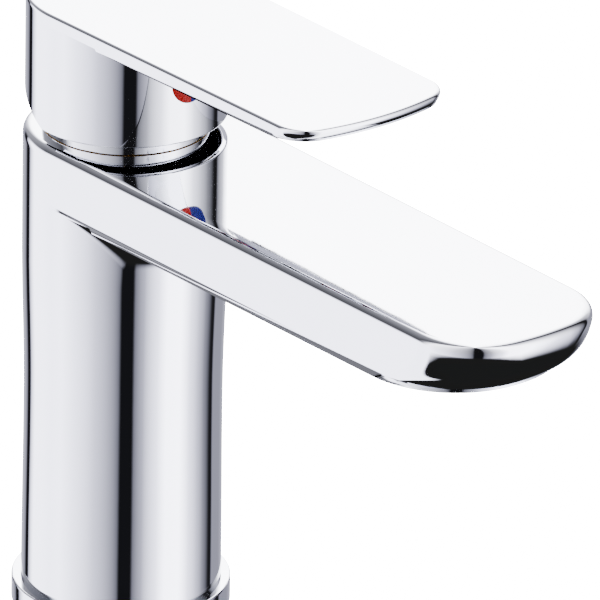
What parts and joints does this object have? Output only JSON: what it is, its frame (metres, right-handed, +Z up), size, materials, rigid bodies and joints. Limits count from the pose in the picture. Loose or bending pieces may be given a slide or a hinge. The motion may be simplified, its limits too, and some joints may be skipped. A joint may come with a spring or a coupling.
{
  "type": "bathroom basin mixer faucet",
  "caption": "Single-lever basin mixer: round tower, flat wide spout, flat lever on a round skirt, ceramic cartridge inside, deck clamp below.",
  "frame": {"origin": "on the tower's axis, in the plane of the deck that the mixer stands on (the underside of the base gasket)", "axes": "+Z up along the tower's axis, the spout and the lever point along -Y, +X is to the right seen from in front of the spout"},
  "size_m": [0.0496, 0.1688, 0.2186],
  "materials": {
    "body_chrome": "polished chrome plate on cast brass",
    "lever_chrome": "polished chrome plate on cast zinc",
    "trim_chrome": "polished chrome plate on turned brass",
    "indicator_plastic": "glossy moulded plastic, one half red and one half blue",
    "turned_brass": "machined",
    "black_rubber": "matte moulded",
    "white_plastic": "moulded",
    "grey_plastic": "moulded",
    "disc_ceramic": "lapped",
    "stainless": "bright",
    "zinc_steel": "zinc plated"
  },
  "bodies": {
    "tap_body": {"body": "body_chrome", "base_ring": "trim_chrome", "foot_seal": "black_rubber", "base_gasket": "black_rubber", "cartridge_cover": "trim_chrome", "cartridge_nut": "turned_brass", "nut_seal": "black_rubber", "cartridge_housing": "white_plastic", "cartridge_base": "white_plastic", "inlet_seals": "black_rubber", "disc_seals": "black_rubber", "fixed_disc": "disc_ceramic", "aerator_housing": "trim_chrome", "aerator_insert": "grey_plastic", "aerator_screen": "stainless", "aerator_washer": "black_rubber", "fixing_stud": "zinc_steel", "clamp_pad": "black_rubber", "clamp_plate": "zinc_steel", "fixing_nut": "turned_brass"},
    "carrier": {"stem_carrier": "grey_plastic", "stem_pin": "stainless"},
    "lever": {"lever_handle": "lever_chrome", "indicator_button": "indicator_plastic", "handle_set_screw": "stainless", "cartridge_stem": "turned_brass"},
    "disc_slider": {"moving_disc": "disc_ceramic", "disc_coupler": "grey_plastic"}
  },
  "joints": [
    {"name": "temperature_turn", "type": "hinge", "parent": "tap_body", "child": "carrier", "pos_m": [0, 0, 0.115], "axis": [0, 0, 1], "range_deg": [-50, 50]},
    {"name": "lever_lift", "type": "hinge", "parent": "carrier", "child": "lever", "pos_m": [0, 0, 0.115], "axis": [-1, 0, 0], "range_deg": [0, 25]},
    {"name": "disc_slide", "type": "slide", "parent": "carrier", "child": "disc_slider", "axis": [0, -1, 0], "range_m": [0, 0.0045]}
  ],
  "couplings": [
    {"joint": "disc_slide", "follows": "lever_lift", "m_per_rad": 0.01}
  ]
}
